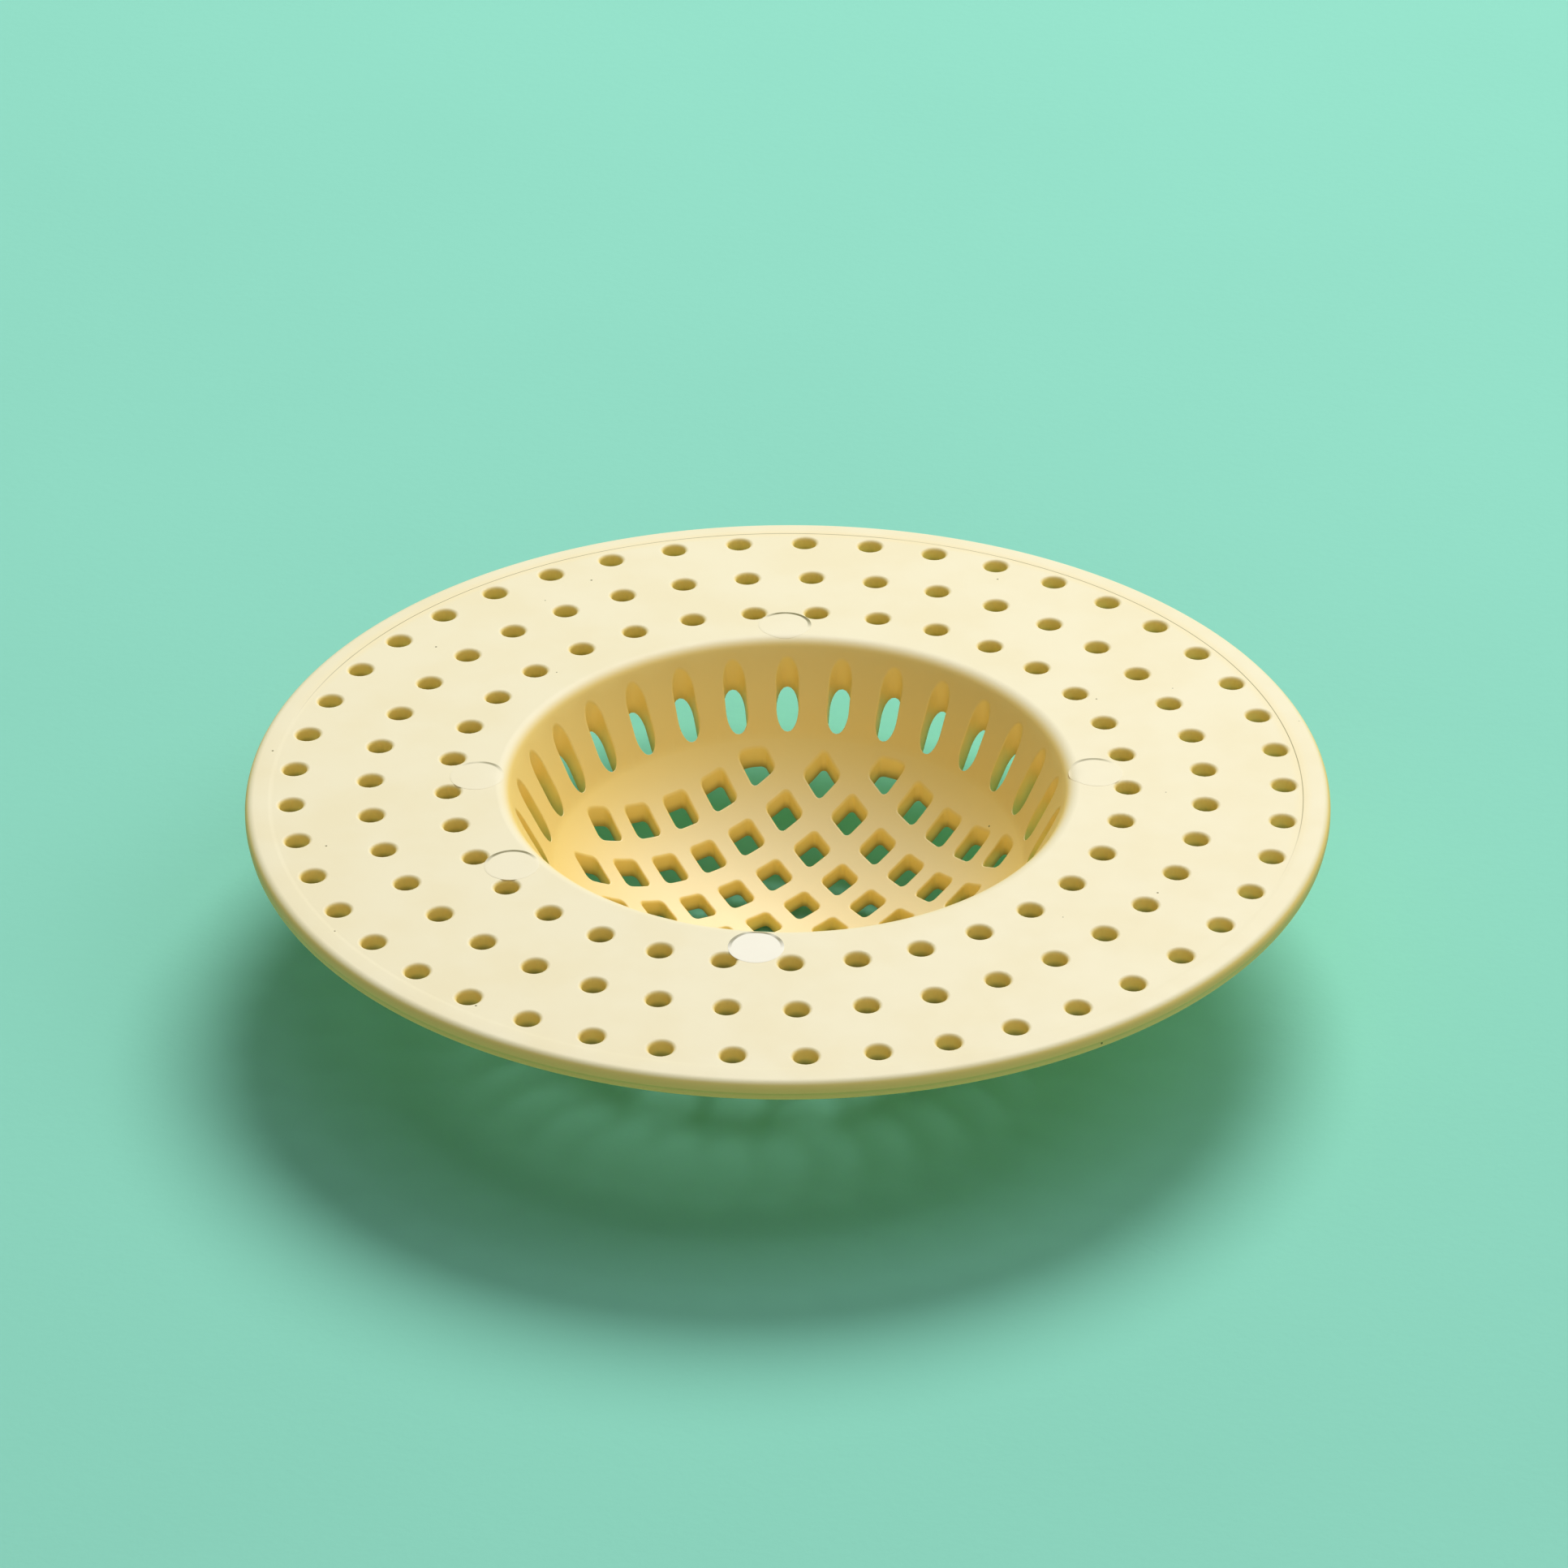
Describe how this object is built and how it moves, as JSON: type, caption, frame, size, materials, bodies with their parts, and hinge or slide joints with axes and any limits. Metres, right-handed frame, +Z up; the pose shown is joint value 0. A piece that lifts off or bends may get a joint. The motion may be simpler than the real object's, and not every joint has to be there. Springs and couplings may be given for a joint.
{
  "type": "sink strainer",
  "caption": "Round plastic sink strainer: a shallow bowl with a slotted wall and a domed lattice floor hangs from a wide flange pierced by rings of small round holes.",
  "frame": {"origin": "centre of the foot, on the surface that the strainer stands on", "axes": "+Z up along the bowl's axis; +Y away from the picture's viewer, through the middle of a slot of the wall; +X to the viewer's right"},
  "size_m": [0.115, 0.115, 0.0232],
  "materials": {
    "cream_plastic": "satin moulded polypropylene, pale cream yellow"
  },
  "bodies": {
    "root": {"outer_rim": "cream_plastic", "perforated_flange": "cream_plastic", "mouth_collar": "cream_plastic", "slotted_wall": "cream_plastic", "lattice_floor": "cream_plastic", "ejector_pads": "cream_plastic"}
  },
  "joints": []
}
